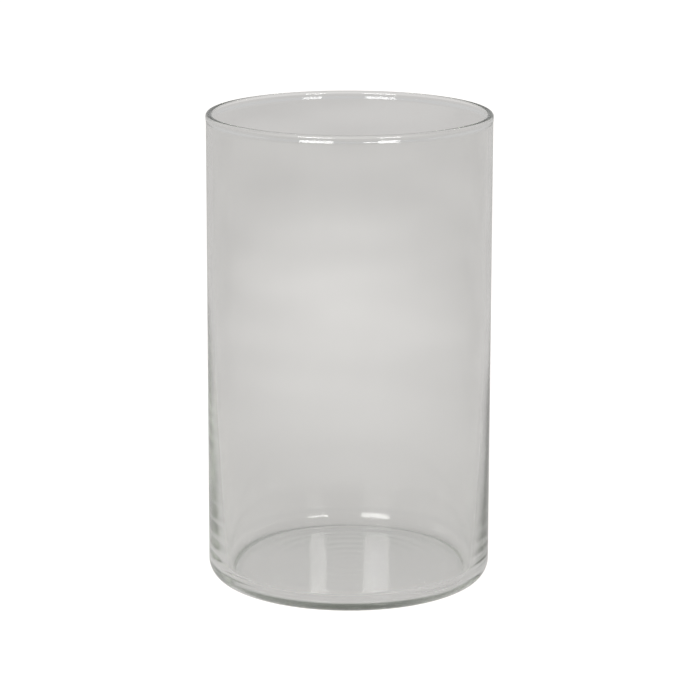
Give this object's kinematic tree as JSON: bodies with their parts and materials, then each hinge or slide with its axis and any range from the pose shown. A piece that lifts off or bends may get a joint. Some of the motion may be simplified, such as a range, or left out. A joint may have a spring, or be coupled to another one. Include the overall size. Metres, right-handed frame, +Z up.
{
  "type": "glass cylinder vase",
  "caption": "Straight clear-glass cylinder vase with a beaded fire-polished rim, a thick rounded heel and a shallow push-up under its base, for flowers and water.",
  "frame": {"origin": "on the vase's axis, in the plane of the ring that it stands on", "axes": "+Z up along the vase's axis, out of its mouth; X and Y are any pair, because the vase is round"},
  "size_m": [0.15, 0.15, 0.25],
  "materials": {
    "glass": "clear, fire polished, faintly grey-green where thick"
  },
  "bodies": {
    "root": {"glass_vase": "glass"}
  },
  "joints": []
}
